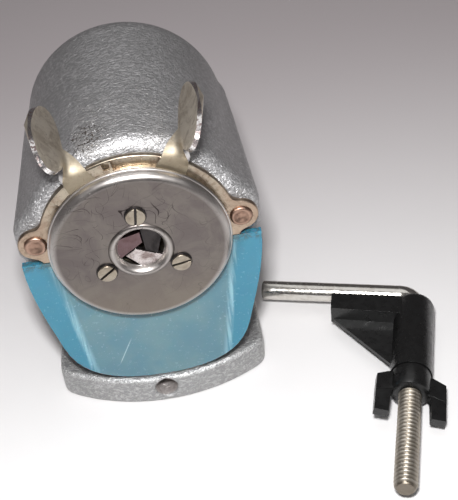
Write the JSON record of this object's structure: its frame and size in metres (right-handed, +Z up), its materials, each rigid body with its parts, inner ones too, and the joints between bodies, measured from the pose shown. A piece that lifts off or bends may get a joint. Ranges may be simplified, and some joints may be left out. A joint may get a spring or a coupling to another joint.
{
  "type": "pencil sharpener",
  "caption": "Hand-cranked desk pencil sharpener with an arched cast body, sprung chuck with squeeze ears, tilted helical cutter, translucent drawer and a separate screw clamp.",
  "frame": {"origin": "centre of the cast foot's underside", "axes": "+X to the right, +Y to the back (the pencil goes in along +Y), +Z up"},
  "size_m": [0.1102, 0.1532, 0.0944],
  "materials": {
    "hammertone": "satin hammertone paint on cast metal",
    "cover_nickel": "worn, scratched nickel",
    "passivated_plate": "satin yellow passivated steel",
    "rivet_copper": "dull copper-coloured, lightly rusted",
    "drawer_plastic": "translucent blue, glossy",
    "screw_steel": "bright",
    "dark_steel": "oiled",
    "cutter_steel": "hardened tool steel",
    "bright_steel": "nickel plated",
    "bush_brass": "turned",
    "black_plastic": "satin black moulding",
    "jaw_steel": "pressed steel, slightly rusted"
  },
  "bodies": {
    "body": {"body_casting": "hammertone", "base_foot": "hammertone", "base_screws": "dark_steel", "ring_gear": "passivated_plate", "ring_gear_screws": "screw_steel", "rear_bush": "bush_brass", "drawer_clip": "screw_steel", "drawer_clip_rivets": "screw_steel", "return_spring_left": "dark_steel", "return_spring_right": "dark_steel"},
    "drawer": {"shavings_drawer": "drawer_plastic"},
    "carriage": {"carriage_plate": "passivated_plate", "chuck_hub": "passivated_plate", "guide_rod_left": "rivet_copper", "guide_rod_right": "rivet_copper", "rod_clips": "dark_steel", "front_cover": "cover_nickel", "cover_screws": "screw_steel", "ear_spring": "dark_steel"},
    "left_ear": {"ear_ring_left": "passivated_plate"},
    "right_ear": {"ear_ring_right": "passivated_plate"},
    "jaw_1": {"jaw_1": "jaw_steel"},
    "jaw_2": {"jaw_2": "jaw_steel"},
    "jaw_3": {"jaw_3": "jaw_steel"},
    "crank": {"cutter_cage": "passivated_plate", "cutter_axle": "screw_steel", "crank_shaft": "bright_steel", "crank_arm": "bright_steel", "crank_nut": "bright_steel", "knob_pin": "bright_steel"},
    "cutter": {"helical_cutter": "cutter_steel", "cutter_pinion": "dark_steel"},
    "knob": {"crank_knob": "black_plastic"},
    "clamp": {"clamp_rod": "bright_steel"},
    "clamp_jaw": {"clamp_jaw": "black_plastic"},
    "wing_nut": {"wing_nut": "black_plastic"}
  },
  "joints": [
    {"name": "crank_turn", "type": "hinge", "parent": "body", "child": "crank", "pos_m": [0, 0, 0.057], "axis": [0, 1, 0], "continuous": true},
    {"name": "cutter_spin", "type": "hinge", "parent": "crank", "child": "cutter", "pos_m": [0, -0.0235, 0.04426], "axis": [0, 0.9781, 0.2079], "continuous": true},
    {"name": "knob_spin", "type": "hinge", "parent": "crank", "child": "knob", "pos_m": [0, 0.05, 0.017], "axis": [0, 1, 0], "continuous": true},
    {"name": "drawer_slide", "type": "slide", "parent": "body", "child": "drawer", "axis": [0, -1, 0], "range_m": [0, 0.045]},
    {"name": "carriage_slide", "type": "slide", "parent": "body", "child": "carriage", "axis": [0, -1, 0], "range_m": [0, 0.015], "stiffness_N_per_m": 250, "springref_m": -0.012, "deforming": ["return_spring_left", "return_spring_right"]},
    {"name": "left_ear_squeeze", "type": "hinge", "parent": "carriage", "child": "left_ear", "pos_m": [0, -0.0345, 0.057], "axis": [0, 1, 0], "range_deg": [0, 10], "stiffness_Nm_per_rad": 0.4, "springref_deg": -8.59},
    {"name": "right_ear_squeeze", "type": "hinge", "parent": "carriage", "child": "right_ear", "pos_m": [0, -0.0336, 0.057], "axis": [0, -1, 0], "range_deg": [0, 10]},
    {"name": "jaw_1_open", "type": "hinge", "parent": "carriage", "child": "jaw_1", "pos_m": [0, -0.036, 0.0678], "axis": [0, -1, 0], "range_deg": [0, 20]},
    {"name": "jaw_2_open", "type": "hinge", "parent": "carriage", "child": "jaw_2", "pos_m": [-0.00935, -0.036, 0.0516], "axis": [0, -1, 0], "range_deg": [0, 20]},
    {"name": "jaw_3_open", "type": "hinge", "parent": "carriage", "child": "jaw_3", "pos_m": [0.00935, -0.036, 0.0516], "axis": [0, -1, 0], "range_deg": [0, 20]},
    {"name": "clamp_lift", "type": "slide", "parent": "body", "child": "clamp", "axis": [0, 0, 1], "range_m": [0, 0.08]},
    {"name": "clamp_jaw_slide", "type": "slide", "parent": "clamp", "child": "clamp_jaw", "axis": [-0.279, -0.9603, 0], "range_m": [0, 0.02]},
    {"name": "wing_nut_spin", "type": "hinge", "parent": "clamp_jaw", "child": "wing_nut", "pos_m": [0.07525, -0.0153, 0.0061], "axis": [-0.279, -0.9603, 0], "range_deg": [0, 5700]}
  ],
  "couplings": [
    {"joint": "cutter_spin", "follows": "crank_turn", "ratio": -3},
    {"joint": "right_ear_squeeze", "follows": "left_ear_squeeze", "ratio": 1},
    {"joint": "jaw_1_open", "follows": "left_ear_squeeze", "ratio": 2},
    {"joint": "jaw_2_open", "follows": "left_ear_squeeze", "ratio": 2},
    {"joint": "jaw_3_open", "follows": "left_ear_squeeze", "ratio": 2},
    {"joint": "wing_nut_spin", "follows": "clamp_jaw_slide", "rad_per_m": 4947.4}
  ]
}
